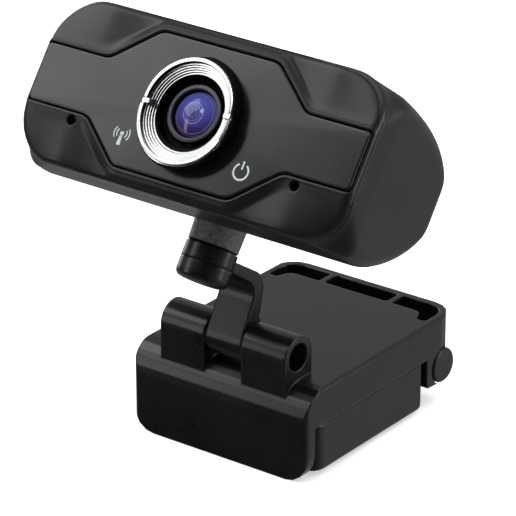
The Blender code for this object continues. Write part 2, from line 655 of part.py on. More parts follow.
def electronics():
    back = BOARD_Y + 1.6 * MM
    board = block("main_board", (-BOARD_HALF, BOARD_Y, -BOARD_TALL), (BOARD_HALF, back, BOARD_TALL), HEAD)
    for index, (x, z) in enumerate(BOSSES):
        combine(board, rod(f"board_hole_{index}", 1.2 * MM, 16 * MM, 20 * MM, "y", HEAD, (x, 0, z), 10))
        board_screw(f"board_screw_{index + 1}", x, z, back + SLIT)
    finish(board, "board_green")
    chips = (("usb_controller", 4, 13, -4.5, 4.5, 1.2), ("cable_header", -17, -6, -2.5, 2.5, 4.0))
    for name, left, right, low, high, thick in chips:
        corner_low = (left * MM, back + SLIT, low * MM)
        corner_high = (right * MM, back + SLIT + thick * MM, high * MM)
        finish(block(name, corner_low, corner_high, HEAD), "chip_black")
    for name, side in (("left", -1), ("right", 1)):
        capsule = rod(f"microphone_{name}", 2 * MM, 4.1 * MM, 6.3 * MM, "y", HEAD, (side * MIC_X, 0, MIC_Z), 16)
        finish(capsule, "steel")
    for name, side in (("link_led", -1), ("power_led", 1)):
        x, half = side * ICON_X, 0.8 * MM
        low, high = (x - half, 4.1 * MM, ICON_Z - half), (x + half, 4.9 * MM, ICON_Z + half)
        finish(block(name, low, high, HEAD), "led_white")


def board_screw(name, x, z, seat):
    """A screw driven forward through the board into a bezel boss."""
    head, shank, length = 2.0 * MM, 0.85 * MM, 6.4 * MM
    profile = [
        (0, length), (shank, length - shank), (shank, 0), (head, 0), (head, -0.8 * MM), (0.7 * head, -1.3 * MM),
        (0, -1.4 * MM),
    ]
    finish(turned(name, profile, "y", HEAD, 14, (x, seat, z)), "steel")


clip_shell()
front_hinge_pin()
rear_hinge_pin()
shell_pad()
leg()
leg_cover()
arm_bracket()
swivel_joint()
neck_post()
rear_housing()
cable_gland()
front_bezel()
face_plate()
lens_assembly()
lens_mount()
electronics()
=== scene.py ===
import math

import bmesh
import bpy
from mathutils import Matrix, Vector


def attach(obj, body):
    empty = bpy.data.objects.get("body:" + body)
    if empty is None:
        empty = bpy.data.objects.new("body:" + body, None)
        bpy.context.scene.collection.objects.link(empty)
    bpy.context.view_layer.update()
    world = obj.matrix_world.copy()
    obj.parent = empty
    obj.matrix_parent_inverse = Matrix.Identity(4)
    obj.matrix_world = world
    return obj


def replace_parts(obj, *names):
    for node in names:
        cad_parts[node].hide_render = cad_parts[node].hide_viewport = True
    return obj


MM = 0.001
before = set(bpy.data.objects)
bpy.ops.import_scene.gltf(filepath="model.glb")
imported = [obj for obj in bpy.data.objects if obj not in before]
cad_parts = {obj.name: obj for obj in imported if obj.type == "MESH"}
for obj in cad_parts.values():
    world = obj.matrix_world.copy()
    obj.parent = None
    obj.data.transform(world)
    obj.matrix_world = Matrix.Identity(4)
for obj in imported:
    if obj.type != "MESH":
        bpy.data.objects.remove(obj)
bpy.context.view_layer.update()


# ---------------------------------------------------------------- dimensions

# the head's own frame: x to its right, y into the head, z up, origin on the plate's face at the lens
LEAN = math.radians(35.2)
PAN = math.radians(2.74)
FACE_LEAN = math.radians(1.68)
FACE_POINT = Vector((0.001195, -0.034637, 0.083621))
HEAD = (
    Matrix.Translation(FACE_POINT)
    @ Matrix.Rotation(-LEAN, 4, "X")
    @ Matrix.Rotation(PAN, 4, "Z")
    @ Matrix.Rotation(-FACE_LEAN, 4, "X")
)

CAMERA_POINT = Vector((0.41295, -0.55721, 0.34608))
CAMERA_TURN = math.radians(37.11)
CAMERA_RISE = math.radians(23.93)
CAMERA_ROLL = math.radians(-0.12)
CAMERA_LENS = 240.22
FILM_WIDTH = 36


# ---------------------------------------------------------------- materials

class Graph:
    """A material's node tree, built one node at a time."""

    def __init__(self, name):
        self.material = bpy.data.materials.new(name)
        self.material.use_nodes = True
        self.tree = self.material.node_tree
        self.tree.nodes.clear()

    def add(self, kind, inputs=(), **settings):
        """Adds a node; inputs maps a socket name or number to a value or to another node's output."""
        node = self.tree.nodes.new("ShaderNode" + kind)
        for key, value in settings.items():
            setattr(node, key, value)
        for key, value in dict(inputs).items():
            if isinstance(value, bpy.types.NodeSocket):
                self.tree.links.new(value, node.inputs[key])
            else:
                node.inputs[key].default_value = value
        return node

    def place(self, stretch=(1, 1, 1)):
        """Object coordinates, stretched along each axis."""
        coordinates = self.add("TexCoord").outputs["Object"]
        return self.add("Mapping", {"Vector": coordinates, "Scale": stretch}).outputs[0]

    def noise(self, where, scale, detail=3, roughness=0.55):
        inputs = {"Vector": where, "Scale": scale, "Detail": detail, "Roughness": roughness}
        return self.add("TexNoise", inputs).outputs["Fac"]

    def ramp(self, value, low, high, start, end):
        """Maps a value from low..high onto start..end."""
        inputs = {"Value": value, "From Min": low, "From Max": high, "To Min": start, "To Max": end}
        return self.add("MapRange", inputs).outputs[0]

    def maths(self, operation, first, second=0.0):
        return self.add("Math", {0: first, 1: second}, operation=operation).outputs[0]

    def blend(self, factor, first, second):
        """Mixes two colours."""
        node = self.add("Mix", {"Factor": factor}, data_type="RGBA")
        for socket, value in ((node.inputs[6], first), (node.inputs[7], second)):
            if isinstance(value, bpy.types.NodeSocket):
                self.tree.links.new(value, socket)
            else:
                socket.default_value = (*value, 1)
        return node.outputs[2]

    def bump(self, height, strength, distance, normal=None):
        inputs = {"Height": height, "Strength": strength, "Distance": distance}
        if normal is not None:
            inputs["Normal"] = normal
        return self.add("Bump", inputs).outputs[0]

    def surface(self, inputs):
        """Ends the tree in one Principled BSDF."""
        shader = self.add("BsdfPrincipled", inputs)
        output = self.add("OutputMaterial")
        self.tree.links.new(shader.outputs[0], output.inputs["Surface"])
        return self.material


def edge_rounding_and_highlight(graph, radius):
    """The rounded normal of a moulded edge, and a mask that is bright along the edges, where moulded plastic
    paints a highlight.
    """
    rounded = graph.add("Bevel", {"Radius": radius}, samples=10).outputs[0]
    flat = graph.add("NewGeometry").outputs["Normal"]
    along = graph.add("VectorMath", {0: rounded, 1: flat}, operation="DOT_PRODUCT").outputs["Value"]
    return rounded, graph.ramp(along, 0.99, 0.80, 0.0, 1.0)


def moulded_plastic(name, tone, roughness, grain, depth, specular, edge=0.35 * MM):
    """Black moulded plastic: fine spark-eroded grain, edges polished by handling and painted lighter as a
    highlight, faint dust.
    """
    graph = Graph(name)
    where = graph.place()
    normal, edges = edge_rounding_and_highlight(graph, edge)
    fine = graph.noise(where, 1 / grain, 4, 0.6)
    broad = graph.noise(where, 90, 3)
    streaks = graph.noise(graph.place((60, 420, 900)), 1, 5, 0.7)
    specks = graph.ramp(graph.noise(where, 1500, 2, 0.4), 0.70, 0.78, 0.0, 1.0)
    darker, lighter = [0.75 * c for c in tone], [1.25 * c for c in tone]
    colour = graph.blend(graph.ramp(broad, 0.3, 0.7, 0.0, 1.0), darker, lighter)
    colour = graph.blend(graph.maths("MULTIPLY", specks, 0.10), colour, (0.10, 0.10, 0.10))
    # the edges are painted lighter: a painted highlight
    colour = graph.blend(graph.maths("MULTIPLY", edges, 0.25), colour, (0.035, 0.035, 0.036))
    patches = graph.ramp(broad, 0.3, 0.7, -0.02, 0.02)
    rubbed = graph.ramp(streaks, 0.35, 0.65, -0.01, 0.01)
    gloss = graph.maths("ADD", patches, rubbed)
    gloss = graph.maths("ADD", gloss, graph.ramp(edges, 0, 1, roughness, 0.75 * roughness))
    return graph.surface({
        "Base Color": colour,
        "Roughness": gloss,
        "Specular IOR Level": specular,
        "Normal": graph.bump(fine, 0.5, depth, normal),
    })


def piano_plastic(name, tone, roughness):
    """Glossy face plate: near-flat lacquer with polishing haze, faint ripple and dust."""
    graph = Graph(name)
    where = graph.place()
    normal = edge_rounding_and_highlight(graph, 0.18 * MM)[0]
    haze = graph.noise(where, 60, 4)
    ripple = graph.noise(where, 300, 2)
    dust = graph.ramp(graph.noise(where, 2300, 2, 0.4), 0.72, 0.80, 0.0, 1.0)
    colour = graph.blend(graph.maths("MULTIPLY", dust, 0.15), tone, (0.12, 0.12, 0.12))
    polish = graph.ramp(haze, 0.3, 0.7, roughness - 0.03, roughness + 0.04)
    gloss = graph.maths("ADD", polish, graph.ramp(dust, 0, 1, 0, 0.2))
    return graph.surface({
        "Base Color": colour,
        "Roughness": gloss,
        "Specular IOR Level": 0.55,
        "Normal": graph.bump(ripple, 0.15, 0.01 * MM, normal),
    })


def grained_plastic(name):
    """The neck's coarse leathery grain, its pits painted darker and its ridges lighter as painted shade and
    highlight.
    """
    graph = Graph(name)
    where = graph.place()
    pebbles = graph.add("TexVoronoi", {"Vector": where, "Scale": 1500.0, "Randomness": 1.0})
    cells = pebbles.outputs["Distance"]
    fine = graph.noise(where, 2600, 3)
    height = graph.maths("ADD", cells, graph.maths("MULTIPLY", fine, 0.4))
    # the colour follows the grain's relief: painted shade in the pits, painted highlight on the ridges
    colour = graph.blend(graph.ramp(cells, 0.1, 0.7, 0, 1), (0.03, 0.03, 0.03), (0.08, 0.08, 0.08))
    return graph.surface({
        "Base Color": colour,
        "Roughness": graph.ramp(fine, 0.3, 0.7, 0.40, 0.55),
        "Specular IOR Level": 0.6,
        "Normal": graph.bump(height, 0.8, 0.06 * MM, edge_rounding_and_highlight(graph, 0.2 * MM)[0]),
    })


def rubber(name):
    """Dull black rubber with a fine dusty tooth."""
    graph = Graph(name)
    where = graph.place()
    fine = graph.noise(where, 2200, 4, 0.7)
    broad = graph.noise(where, 150, 3)
    colour = graph.blend(graph.ramp(broad, 0.3, 0.7, 0, 1), (0.012, 0.012, 0.012), (0.024, 0.024, 0.023))
    return graph.surface({
        "Base Color": colour,
        "Roughness": graph.ramp(fine, 0.3, 0.7, 0.72, 0.92),
        "Specular IOR Level": 0.3,
        "Normal": graph.bump(fine, 0.6, 0.04 * MM, edge_rounding_and_highlight(graph, 0.3 * MM)[0]),
    })


def metal(name, tone, roughness, edge=0.12 * MM):
    """Bare or plated metal with fine turning marks and a little tarnish."""
    graph = Graph(name)
    marks = graph.noise(graph.place(), 2400, 5, 0.7)
    broad = graph.noise(graph.place(), 200, 3)
    colour = graph.blend(graph.ramp(broad, 0.3, 0.7, 0, 1), [0.85 * c for c in tone], tone)
    return graph.surface({
        "Base Color": colour,
        "Metallic": 1.0,
        "Roughness": graph.ramp(marks, 0.3, 0.7, 0.7 * roughness, 1.4 * roughness),
        "Normal": graph.bump(marks, 0.12, 0.01 * MM, edge_rounding_and_highlight(graph, edge)[0]),
    })


def circuit_board(name):
    """Green solder mask over tracks and a woven base."""
    graph = Graph(name)
    where = graph.place()
    weave = graph.add("TexBrick", {"Vector": where, "Scale": 700.0}).outputs["Fac"]
    tracks = graph.ramp(graph.noise(graph.place((160, 160, 500)), 1, 1), 0.52, 0.54, 0.0, 1.0)
    colour = graph.blend(tracks, (0.006, 0.07, 0.03), (0.015, 0.14, 0.055))
    return graph.surface({
        "Base Color": colour,
        "Roughness": graph.ramp(tracks, 0, 1, 0.35, 0.45),
        "Normal": graph.bump(weave, 0.1, 0.02 * MM),
    })


# bright circles painted on the lens glass, the inner lenses' rims as painted reflections, as (radius, width,
# strength), sizes in millimetres
INNER_RIM_GLINTS = [(2.3, 0.12, 0.55), (1.75, 0.07, 0.4), (4.3, 0.09, 0.45), (4.75, 0.07, 0.4), (1.0, 0.08, 0.3)]


def coated_glass(name):
    """Lens glass over a dark barrel: violet coating painted brighter blue where it faces up, the rims of
    inner lenses painted as bright reflections, painted shade where it turns from view, faint wipe marks.
    """
    graph = Graph(name)
    far = graph.add("Attribute", attribute_name="from_axis").outputs["Fac"]
    wipes = graph.noise(graph.place((300, 300, 900)), 1, 4)
    facing = graph.add("LayerWeight", {"Blend": 0.3}).outputs["Facing"]
    upward = graph.add("SeparateXYZ", {0: graph.add("NewGeometry").outputs["Normal"]}).outputs["Z"]
    violet, sheen_blue = (0.045, 0.02, 0.11), (0.13, 0.15, 0.64)
    pupil, barrel = (0.06, 0.05, 0.18), (0.02, 0.015, 0.06)
    # glass facing up is painted a brighter blue: a painted reflection of the light above
    colour = graph.blend(graph.ramp(upward, 0.15, 0.85, 0, 1), violet, sheen_blue)
    colour = graph.blend(graph.ramp(far, 2.4, 0.8, 0, 0.7), colour, pupil)
    colour = graph.blend(graph.ramp(far, 4.95, 5.1, 0, 1), colour, barrel)
    # the inner lenses' rims, painted on as bright reflected rings
    for radius, width, strength in INNER_RIM_GLINTS:
        off = graph.maths("ABSOLUTE", graph.maths("SUBTRACT", far, radius))
        line = graph.maths("MULTIPLY", graph.ramp(off, width, 0.4 * width, 0, 1), strength)
        colour = graph.blend(line, colour, (0.55, 0.55, 0.85))
    # the glass is painted darker where it turns away from view: painted shade round the dome's edge
    colour = graph.blend(graph.maths("MULTIPLY", facing, 0.7), colour, (0.03, 0.02, 0.10))
    return graph.surface({
        "Base Color": colour,
        "Roughness": graph.ramp(wipes, 0.3, 0.7, 0.03, 0.06),
        "Specular IOR Level": 0.35,
        "Coat Weight": 0.05,
        "Coat Roughness": 0.03,
    })


def lamp_lens(name):
    """Milky white plastic, for the lamps and the printed symbols."""
    graph = Graph(name)
    cloud = graph.noise(graph.place(), 900, 3)
    return graph.surface({
        "Base Color": graph.blend(cloud, (0.70, 0.74, 0.76), (0.86, 0.88, 0.90)),
        "Roughness": graph.ramp(cloud, 0.3, 0.7, 0.2, 0.35),
        "Subsurface Weight": 0.2,
        "Subsurface Scale": 0.3 * MM,
    })


SATIN = (0.0075, 0.0075, 0.008)
BLACK = (0.006, 0.006, 0.0065)
SOOT = (0.002, 0.002, 0.002)
CHIP = (0.012, 0.012, 0.012)

# plastics take a tone, roughness, grain size, grain depth, specular level and edge radius
MATERIALS = {
    "satin_black": moulded_plastic("satin_black", SATIN, 0.34, 0.30 * MM, 0.012 * MM, 0.42),
    "stand_black": moulded_plastic("stand_black", BLACK, 0.29, 0.35 * MM, 0.010 * MM, 0.48, 0.7 * MM),
    "gloss_black": piano_plastic("gloss_black", BLACK, 0.22),
    "rubber": rubber("rubber"),
    "chrome": metal("chrome", (0.62, 0.63, 0.64), 0.2, 0.02 * MM),
    "lens_grey": metal("lens_grey", (0.075, 0.078, 0.082), 0.38),
    "lens_glass": coated_glass("lens_glass"),
    "neck_grain": grained_plastic("neck_grain"),
    "matt_black": moulded_plastic("matt_black", SOOT, 0.6, 0.25 * MM, 0.012 * MM, 0.1, 0.15 * MM),
    "steel": metal("steel", (0.56, 0.56, 0.55), 0.28),
    "board_green": circuit_board("board_green"),
    "chip_black": moulded_plastic("chip_black", CHIP, 0.5, 0.2 * MM, 0.01 * MM, 0.4, 0.1 * MM),
    "led_white": lamp_lens("led_white"),
}


def dress(piece, finish):
    """Gives a piece one of the finishes above."""
    piece.data.materials.clear()
    piece.data.materials.append(MATERIALS[finish])


for name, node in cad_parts.items():
    given = node.data.materials[0].name.split(".")[0] if node.data.materials else ""
    dress(node, given if given in MATERIALS else "satin_black")

dress(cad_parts["friction_washer"], "rubber")
dress(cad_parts["neck_post"], "neck_grain")


# ---------------------------------------------------------------- shape tools

def rounded(corners, steps=10):
    """Outline points of a polygon whose corners are (u, v, radius)."""
    points = []
    count = len(corners)
    for index, (u, v, radius) in enumerate(corners):
        here = Vector((u, v))
        before = (Vector(corners[index - 1][:2]) - here).normalized()
        after = (Vector(corners[(index + 1) % count][:2]) - here).normalized()
        half = before.angle(after) / 2
        middle = here + (before + after).normalized() * radius / math.sin(half)
        start = here + before * radius / math.tan(half) - middle
        end = here + after * radius / math.tan(half) - middle
        turn = start.angle_signed(end)
        for step in range(steps + 1):
            spin = Matrix.Rotation(-turn * step / steps, 2)
            points.append(middle + spin @ start)
    return points


def mirrored(corners):
    """Closes a right-hand half outline, listed bottom to top, with its mirror image."""
    return corners + [(-u, v, radius) for u, v, radius in reversed(corners)]


def walk(path, count, closed=True):
    """Points spaced evenly along a path."""
    path = list(path) + ([path[0]] if closed else [])
    lengths = [0.0]
    for first, second in zip(path, path[1:]):
        lengths.append(lengths[-1] + (second - first).length)
    points = []
    leg = 0
    for index in range(count):
        target = lengths[-1] * index / (count if closed else count - 1)
        while leg < len(path) - 2 and lengths[leg + 1] < target:
            leg += 1
        share = (target - lengths[leg]) / max(lengths[leg + 1] - lengths[leg], 1e-12)
        points.append(path[leg].lerp(path[leg + 1], share))
    return points


def loft(name, rings, place, slot, body, closed=False, smooth=38):
    """A skin through rings of points; closed joins the last ring to the first, else the ends are capped."""
    shape = bmesh.new()
    rows = [[shape.verts.new(point) for point in ring] for ring in rings]
    count = len(rows[0])
    pairs = list(zip(rows, rows[1:]))
    if closed:
        pairs.append((rows[-1], rows[0]))
    for ring, following in pairs:
        for index in range(count):
            shape.faces.new((ring[index - 1], ring[index], following[index], following[index - 1]))
    if not closed:
        shape.faces.new(rows[0])
        shape.faces.new(reversed(rows[-1]))
    bmesh.ops.remove_doubles(shape, verts=shape.verts, dist=0.002 * MM)
    bmesh.ops.recalc_face_normals(shape, faces=shape.faces)
    return place_mesh(name, shape, place, slot, body, smooth)


def place_mesh(name, shape, place, slot, body, smooth=38):
    """Puts a finished shape into the part frame, with its finish and the body that it rides on."""
    bmesh.ops.transform(shape, matrix=place, verts=shape.verts)
    mesh = bpy.data.meshes.new(name)
    shape.to_mesh(mesh)
    shape.free()
    mesh.shade_smooth()
    mesh.set_sharp_from_angle(angle=math.radians(smooth))
    piece = bpy.data.objects.new(name, mesh)
    bpy.context.scene.collection.objects.link(piece)
    dress(piece, slot)
    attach(piece, body)
    return piece


def smooth_step(value):
    value = min(max(value, 0.0), 1.0)
    return value * value * (3 - 2 * value)


def turned(name, profile_at, slot, steps):
    """A turned piece of the focus body; profile_at gives a closed loop of (radius, ahead) at an angle."""
    rings = []
    for step in range(steps):
        angle = 2 * math.pi * step / steps
        rings.append([
            Vector((r * math.sin(angle), -ahead, r * math.cos(angle))) * MM for r, ahead in profile_at(angle)
        ])
    return loft(name, rings, HEAD, slot, "focus", closed=True)


# ---------------------------------------------------------------- head shells

# millimetres in the head's frame
HEAD_HALF, HEAD_TOP, HEAD_BOTTOM, HEAD_DEPTH = 42.1, 17.2, 20.9, 37.4
BEZEL_HALF, BEZEL_TALL, BEZEL_CORNER = 41.8, 18.5, 10.0
END_ROUND, END_CORNER = 3.6, 3.6
SEAM, SWELL, BELLY = 1.8, 7.0, 19.0
PLATE_HALF, WING_TALL, PLATE_TALL = 41.0, 6.45, 15.1
PLATE_GAP, LENS_HOLE = 0.3, 9.2
MIC_X, MIC_Z, MIC_RADIUS = 28.55, -8.45, 1.15


def recede(x, z):
    """How far the face curls back towards its four corners, in millimetres."""
    across = max(abs(x) - 28, 0) / 13.8
    upward = max(abs(z) - 6, 0) / 12.5
    return 3.0 * (across * upward) ** 1.6 + 0.05 * max(-z - 8, 0)


def head_section(depth):
    """Outline of the rear housing at a depth behind the face, all in millimetres."""
    reach = min(depth / HEAD_DEPTH, 0.9999)
    narrow = 1 - smooth_step((depth - SEAM) / SWELL)
    slim = 1 - smooth_step((depth - SEAM) / BELLY)
    top = HEAD_TOP * (1 - reach ** 2.8) ** (1 / 2.8) + narrow * (BEZEL_TALL - HEAD_TOP)
    bottom = HEAD_BOTTOM * (1 - reach ** 2) ** 0.5 + slim * (BEZEL_TALL - HEAD_BOTTOM)
    past = min(max(depth - (HEAD_DEPTH - END_ROUND), 0) / END_ROUND, 1)
    half = HEAD_HALF - END_ROUND * (1 - math.sqrt(1 - past * past)) - narrow * (HEAD_HALF - BEZEL_HALF)
    corner = min(END_CORNER + narrow * (BEZEL_CORNER - END_CORNER), 0.49 * (top + bottom))
    return walk(rounded(mirrored([(half, -bottom, corner), (half, top, corner)]), 14), 320)


def housing_ring(depth, inset=0.0):
    """One ring of the housing, pulled back at the corners near the face."""
    ring = []
    fade = max(1 - (depth - SEAM) / 14, 0)
    for x, z in head_section(depth):
        shrink = 1 - inset / 20
        ring.append(Vector((x * shrink, depth + recede(x, z) * fade, z * shrink)) * MM)
    return ring


def rear_housing():
    """The rear shell: a tucked-in front edge, the swell behind it, then the rounded back."""
    tuck = [(SEAM + 3, 2.5), (SEAM, 2.5), (SEAM, 0.25), (SEAM + 0.12, 0.05)]
    rings = [housing_ring(depth, inset) for depth, inset in tuck]
    depths = [SEAM + 0.3] + [SEAM + SWELL * step / 10 for step in range(1, 11)]
    full = SEAM + SWELL
    depths += [full + (HEAD_DEPTH - full) * math.sin(math.radians(90 * step / 30)) for step in range(1, 30)]
    rings += [housing_ring(depth) for depth in depths]
    rings.append(housing_ring(HEAD_DEPTH - 0.02))
    piece = loft("housing_skin", rings, HEAD, "satin_black", "head", smooth=50)
    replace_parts(piece, "rear_housing")


def plate_outline(grow, steps=10):
    """The face plate's outline: a tall middle that steps down to two wings."""
    wing, tall, half = WING_TALL + grow, PLATE_TALL + grow, PLATE_HALF + grow
    top = [(half, wing, 0.8), (25.1 + grow / 2, wing, 4), (14.7 + grow / 2, tall, 4)]
    bottom = [(u, -v, radius) for u, v, radius in reversed(top)]
    return rounded(mirrored(bottom + top), steps)


def rim_partner(point, wing_start=25.5):
    """The point on the bezel's rim that faces a point on the plate's outline."""
    across, upward = math.copysign(1, point.x), math.copysign(1, point.y)
    x, z = abs(point.x), abs(point.y)
    wing = WING_TALL - 0.6
    if x <= wing_start:
        return Vector((point.x, upward * BEZEL_TALL))
    if z < wing and x > PLATE_HALF - 1:
        return Vector((across * BEZEL_HALF, point.y))
    arc = math.radians(90) * BEZEL_CORNER
    flat = BEZEL_HALF - BEZEL_CORNER - wing_start
    side = BEZEL_TALL - BEZEL_CORNER - wing
    share = (x - wing_start) / (PLATE_HALF + 0.3 - wing_start)
    travel = min(share, 1) ** 0.8 * (flat + arc + side)
    if travel < flat:
        return Vector((across * (wing_start + travel), upward * BEZEL_TALL))
    if travel < flat + arc:
        angle = (travel - flat) / BEZEL_CORNER
        reach = Vector((math.sin(angle), math.cos(angle))) * BEZEL_CORNER
        middle = Vector((BEZEL_HALF - BEZEL_CORNER, BEZEL_TALL - BEZEL_CORNER))
        return Vector((across * (middle.x + reach.x), upward * (middle.y + reach.y)))
    return Vector((across * BEZEL_HALF, upward * (BEZEL_TALL - BEZEL_CORNER - (travel - flat - arc))))


def bezel_height(x, near, far):
    """Depth of the bezel's face, near millimetres from the plate's gap and far from its rim."""
    bead = 0.22 * math.sin(math.pi * min(near / 0.9, 1)) ** 0.7
    centre = 1 - smooth_step((abs(x) - 19) / 11)
    dip = (0.10 + 0.75 * centre) * smooth_step((near - 0.7) / 2.2)
    lip = max(1.5 - far, 0) / 1.5
    return 0.10 - bead + dip + 1.5 * (1 - math.sqrt(1 - lip * lip))


def distance_to(path, point):
    """Shortest distance from a point to a closed path."""
    best = 1e9
    for first, second in zip(path, path[1:] + path[:1]):
        along = second - first
        share = min(max((point - first).dot(along) / max(along.length_squared, 1e-9), 0), 1)
        best = min(best, (first + along * share - point).length)
    return best


def front_bezel():
    """The bezel's skin: rings from the plate's gap out to the rim, and round its back."""
    inner = walk(plate_outline(PLATE_GAP, 12), 480)
    outer = [rim_partner(point) for point in inner]
    corners = [(BEZEL_HALF, side * BEZEL_TALL, BEZEL_CORNER) for side in (-1, 1)]
    rim = rounded(mirrored(corners), 12)
    edge = plate_outline(PLATE_GAP, 6)
    from_plate = [0.0, 0.1, 0.2, 0.32, 0.48, 0.64, 0.76, 0.86, 0.95, 1.1, 1.3, 1.5, 1.75, 2.1]
    from_rim = [2.4, 1.5, 1.25, 1.0, 0.75, 0.5, 0.3, 0.15, 0.05, 0.0]
    between = 12
    rings = [[] for _ in range(len(from_plate) + between + len(from_rim))]
    back_inner, back_outer = [], []
    for start, end in zip(inner, outer):
        span = (end - start).length
        squeeze = min(1, span / (from_plate[-1] + from_rim[0] + 0.4)) / span
        shares = [distance * squeeze for distance in from_plate]
        first, last = shares[-1], 1 - from_rim[0] * squeeze
        shares += [first + (last - first) * (step + 1) / (between + 1) for step in range(between)]
        shares += [1 - distance * squeeze for distance in from_rim]
        for ring, share in zip(rings, shares):
            point = start.lerp(end, share)
            near = distance_to(edge, point)
            far = distance_to(rim, point)
            depth = bezel_height(point.x, near, far) + recede(point.x, point.y)
            ring.append(Vector((point.x, depth, point.y)) * MM)
        back_inner.append(Vector((start.x, 1.6 + recede(start.x, start.y), start.y)) * MM)
        back_outer.append(Vector((end.x, 1.65 + recede(end.x, end.y), end.y)) * MM)
    rings = [back_inner] + rings + [back_outer]
    bezel = loft("bezel_skin", rings, HEAD, "satin_black", "head", closed=True, smooth=50)
    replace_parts(bezel, "front_bezel")
    return bezel


def bore_mics(bezel):
    """Cuts the two round microphone holes through the bezel's skin."""
    angles = [2 * math.pi * step / 40 for step in range(40)]
    circle = [Vector((math.cos(angle), 0, math.sin(angle))) * MIC_RADIUS for angle in angles]
    for side in (-1, 1):
        rings = []
        for depth in (-2, 4):
            middle = Vector((side * MIC_X, depth, MIC_Z))
            rings.append([(middle + point) * MM for point in circle])
        cutter = loft("mic_cutter", rings, HEAD, "chip_black", "head")
        cut = bezel.modifiers.new("mic", "BOOLEAN")
        cut.operation = "DIFFERENCE"
        cut.solver = "EXACT"
        cut.object = cutter
        mesh = bpy.data.meshes.new_from_object(bezel.evaluated_get(bpy.context.evaluated_depsgraph_get()))
        bezel.modifiers.remove(cut)
        bezel.data = mesh
        bpy.data.objects.remove(cutter)


def face_plate():
    """The glossy plate, with the lens hole through it."""
    outline = walk(plate_outline(0, 12), 480)
    small = walk(plate_outline(-0.14, 12), 480)
    inner = walk(plate_outline(-0.45, 12), 480)
    hole = [point.normalized() * LENS_HOLE for point in outline]
    front = [(small, 0.0), (inner, -0.01), (hole, -0.01)]
    layers = [(outline, 0.75), (outline, 0.14)] + front + [(hole, 0.75)]
    rings = [[Vector((x, depth, z)) * MM for x, z in path] for path, depth in layers]
    plate = loft("plate_skin", rings, HEAD, "gloss_black", "head", closed=True, smooth=50)
    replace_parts(plate, "face_plate")


# ---------------------------------------------------------------- printed symbols

POWER_AT = Vector((15.6, -8.9))
MAST_AT = Vector((-15.1, -8.2))
INK_TOP, INK_BOTTOM = -0.045, -0.005


def ribbon(shape, path, width):
    """Adds a raised printed stroke along a path of (x, z) points to a shape."""
    rows = []
    for index, point in enumerate(path):
        ahead = (path[min(index + 1, len(path) - 1)] - path[max(index - 1, 0)]).normalized()
        side = Vector((-ahead.y, ahead.x)) * width / 2
        corners = [(1, INK_BOTTOM), (0.9, INK_TOP), (-0.9, INK_TOP), (-1, INK_BOTTOM)]
        spots = [(point + side * reach, depth) for reach, depth in corners]
        rows.append([shape.verts.new(Vector((p.x, depth, p.y)) * MM) for p, depth in spots])
    for row, following in zip(rows, rows[1:]):
        for index in range(4):
            shape.faces.new((row[index - 1], row[index], following[index], following[index - 1]))
    shape.faces.new(rows[0])
    shape.faces.new(reversed(rows[-1]))


def arc(middle, radius, start, end, steps=24):
    """Points round part of a circle; angles in degrees from straight up, turning right."""
    points = []
    for step in range(steps + 1):
        angle = math.radians(start + (end - start) * step / steps)
        points.append(middle + Vector((math.sin(angle), math.cos(angle))) * radius)
    return points


def power_mark():
    """A ring with a gap at its top and a bar in the gap."""
    shape = bmesh.new()
    ribbon(shape, arc(POWER_AT, 1.75, 32, 328, 40), 0.42)
    ribbon(shape, [POWER_AT + Vector((0, up)) for up in (0.5, 1.4, 2.3)], 0.42)
    return shape


def mast_mark():
    """A mast with a dot at its top and two waves on each side."""
    shape = bmesh.new()
    for side in (-1, 1):
        for radius in (1.25, 1.95):
            ribbon(shape, arc(MAST_AT, radius, side * 52, side * 128, 14), 0.24)
    ribbon(shape, arc(MAST_AT, 0.22, 0, 350, 14), 0.5)
    low = MAST_AT + Vector((0, -2.6))
    high = MAST_AT + Vector((0, -0.1))
    for step in range(4):
        lean = Vector((0.22 * (step - 1.5), 0))
        ribbon(shape, [low + lean, low.lerp(high, 0.5) + lean * 0.75, high + lean * 0.3], 0.26)
    return shape


def symbols():
    """A power mark on the right of the lens and a radio mast on its left."""
    for name, shape in (("power_symbol", power_mark()), ("mast_symbol", mast_mark())):
        bmesh.ops.recalc_face_normals(shape, faces=shape.faces)
        place_mesh(name, shape, HEAD, "led_white", "head")


# ---------------------------------------------------------------- lens

RING_TURN = math.radians(-4)
WELL_EDGE, SHELF_EDGE, RIM_EDGE = 8.05, 9.95, 10.85
TERRACES = 5
TERRACE_LOW, RIM_HIGH, NOTCH_HIGH = 1.9, 4.0, 3.6
RING_STEPS = 240
GLASS_RADIUS, GLASS_BASE, GLASS_DOME, GLASS_EDGE = 5.1, -0.75, 1.75, 1.3


def lower_half(angle):
    """1 on the half of the ring below its two notches, 0 on the half above."""
    return 1 if math.cos(angle - RING_TURN) < 0 else 0


def in_notch(angle, width):
    """Whether an angle lies in one of the two notches, which are width radians wide."""
    away = abs(abs((angle - RING_TURN + math.pi) % (2 * math.pi) - math.pi) - math.pi / 2)
    return away < width / 2


def spread(radius, angle):
    """The two half rings stand apart: each is moved away from the notches, most at the rim."""
    share = (radius - WELL_EDGE) / (RIM_EDGE - WELL_EDGE)
    upright = abs(math.cos(angle - RING_TURN))
    if lower_half(angle):
        return radius + 0.9 * upright + share * (0.75 * upright + 0.25)
    return radius + share * 0.25 * upright


